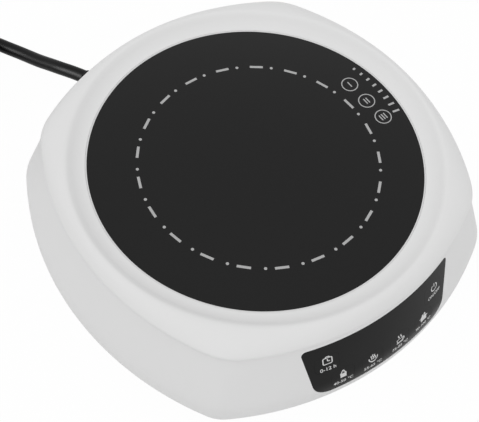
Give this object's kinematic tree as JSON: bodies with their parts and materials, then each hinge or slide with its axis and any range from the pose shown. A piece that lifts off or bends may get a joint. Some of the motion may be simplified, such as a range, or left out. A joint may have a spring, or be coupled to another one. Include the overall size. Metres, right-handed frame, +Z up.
{
  "type": "portable hot plate",
  "caption": "Round glass-ceramic hot plate in a bowed square white housing, with press keys on a dark front panel, a radiant heater, a cooling fan and a coiled mains cord.",
  "frame": {"origin": "on the table, under the middle of the housing", "axes": "+Z up, the keys face -Y, the cord leaves at the back, +Y"},
  "size_m": [0.3035, 0.3178, 0.0543],
  "materials": {
    "white_plastic": "satin moulded",
    "grey_plastic": "moulded",
    "foot_rubber": "matt",
    "zinc_steel": "zinc plated",
    "sheet_steel": "rolled",
    "black_glass": "polished glass-ceramic",
    "silicone": "matt",
    "mineral_fibre": "pressed",
    "resistance_alloy": "oxidised",
    "quartz": "clear",
    "ceramic": "fired",
    "black_plastic": "moulded",
    "copper_winding": "enamelled wire",
    "green_board": "coated laminate",
    "blue_plastic": "moulded",
    "yellow_tape": "wrapped",
    "sleeved_can": "sleeved",
    "display_plastic": "tinted",
    "ribbon": "flexible",
    "panel_gloss": "gloss",
    "light_plastic": "moulded",
    "black_rubber": "satin",
    "brown_lead": "satin",
    "white_lead": "woven sleeve",
    "blue_lead": "satin",
    "brass": "plated"
  },
  "bodies": {
    "housing": {"upper_cover": "white_plastic", "body_shell": "white_plastic", "bottom_plate": "grey_plastic", "feet": "foot_rubber", "housing_screws": "zinc_steel", "glass_plate": "black_glass", "glass_seal": "silicone", "heater_dish": "sheet_steel", "insulation_base": "mineral_fibre", "insulation_ring": "mineral_fibre", "heating_track": "resistance_alloy", "limiter_rod": "quartz", "limiter_head": "ceramic", "heater_terminal": "ceramic", "heater_strap": "sheet_steel", "heat_shield": "sheet_steel", "strap_screws": "zinc_steel", "fan_frame": "black_plastic", "fan_stator": "copper_winding", "fan_screws": "zinc_steel", "power_board": "green_board", "board_screws": "zinc_steel", "relay": "blue_plastic", "transformer": "yellow_tape", "film_capacitor": "yellow_tape", "smoothing_capacitor": "sleeved_can", "control_board": "green_board", "switch_bodies": "black_plastic", "led_display": "display_plastic", "buzzer": "black_plastic", "control_ribbon": "ribbon", "control_panel": "panel_gloss", "cord_gland": "black_rubber", "cord_sheath": "black_rubber", "cord_clamp": "grey_plastic", "clamp_screws": "zinc_steel", "mains_leads": "brown_lead", "terminal_block": "light_plastic", "heater_leads": "white_lead", "board_leads": "blue_lead", "cord": "black_rubber", "cord_coil": "black_rubber", "cord_tie": "black_rubber", "plug_body": "black_rubber", "plug_pins": "brass"},
    "timer_button": {"timer_key": "panel_gloss", "timer_plunger": "light_plastic"},
    "low_button": {"low_key": "panel_gloss", "low_plunger": "light_plastic"},
    "medium_button": {"medium_key": "panel_gloss", "medium_plunger": "light_plastic"},
    "high_button": {"high_key": "panel_gloss", "high_plunger": "light_plastic"},
    "boil_button": {"boil_key": "panel_gloss", "boil_plunger": "light_plastic"},
    "power_button": {"power_key": "panel_gloss", "power_plunger": "light_plastic"},
    "fan_wheel": {"fan_rotor": "black_plastic"}
  },
  "joints": [
    {"name": "timer_press", "type": "slide", "parent": "housing", "child": "timer_button", "axis": [0, 1, 0], "range_m": [0, 0.0005], "stiffness_N_per_m": 1500},
    {"name": "low_press", "type": "slide", "parent": "housing", "child": "low_button", "axis": [0, 1, 0], "range_m": [0, 0.0005], "stiffness_N_per_m": 1500},
    {"name": "medium_press", "type": "slide", "parent": "housing", "child": "medium_button", "axis": [0, 1, 0], "range_m": [0, 0.0005], "stiffness_N_per_m": 1500},
    {"name": "high_press", "type": "slide", "parent": "housing", "child": "high_button", "axis": [0, 1, 0], "range_m": [0, 0.0005], "stiffness_N_per_m": 1500},
    {"name": "boil_press", "type": "slide", "parent": "housing", "child": "boil_button", "axis": [0, 1, 0], "range_m": [0, 0.0005], "stiffness_N_per_m": 1500},
    {"name": "power_press", "type": "slide", "parent": "housing", "child": "power_button", "axis": [0, 1, 0], "range_m": [0, 0.0005], "stiffness_N_per_m": 1500},
    {"name": "fan_spin", "type": "hinge", "parent": "housing", "child": "fan_wheel", "pos_m": [0, 0, 0.013], "axis": [0, 0, 1], "continuous": true}
  ]
}
